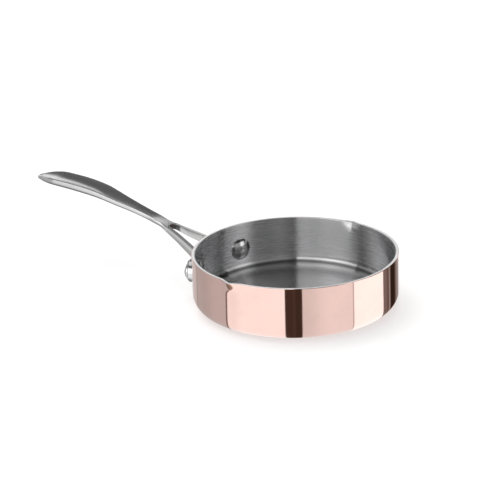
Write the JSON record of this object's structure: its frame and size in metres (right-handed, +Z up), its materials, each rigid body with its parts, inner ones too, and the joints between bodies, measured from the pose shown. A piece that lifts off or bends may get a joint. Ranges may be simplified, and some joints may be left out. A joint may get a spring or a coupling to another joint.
{
  "type": "frying pan",
  "caption": "Shallow copper-clad frying pan with pinched pouring lips and a forked, riveted handle with a dished grip",
  "frame": {"origin": "centre of the flat underside, on the surface that the pan stands on", "axes": "+Z up, +X along the handle away from the pan, the pouring lips near +Y and -Y"},
  "size_m": [0.2501, 0.1242, 0.0487],
  "materials": {
    "copper": "mirror-polished rose copper",
    "aluminium": "bare rolled edge, satin",
    "lining_steel": "brushed round the pan's axis",
    "cast_steel": "polished cast stainless steel",
    "rivet_steel": "polished stainless steel"
  },
  "bodies": {
    "root": {"copper_shell": "copper", "aluminium_core": "aluminium", "steel_lining": "lining_steel", "handle": "cast_steel", "rivet_left": "rivet_steel", "rivet_right": "rivet_steel"}
  },
  "joints": []
}
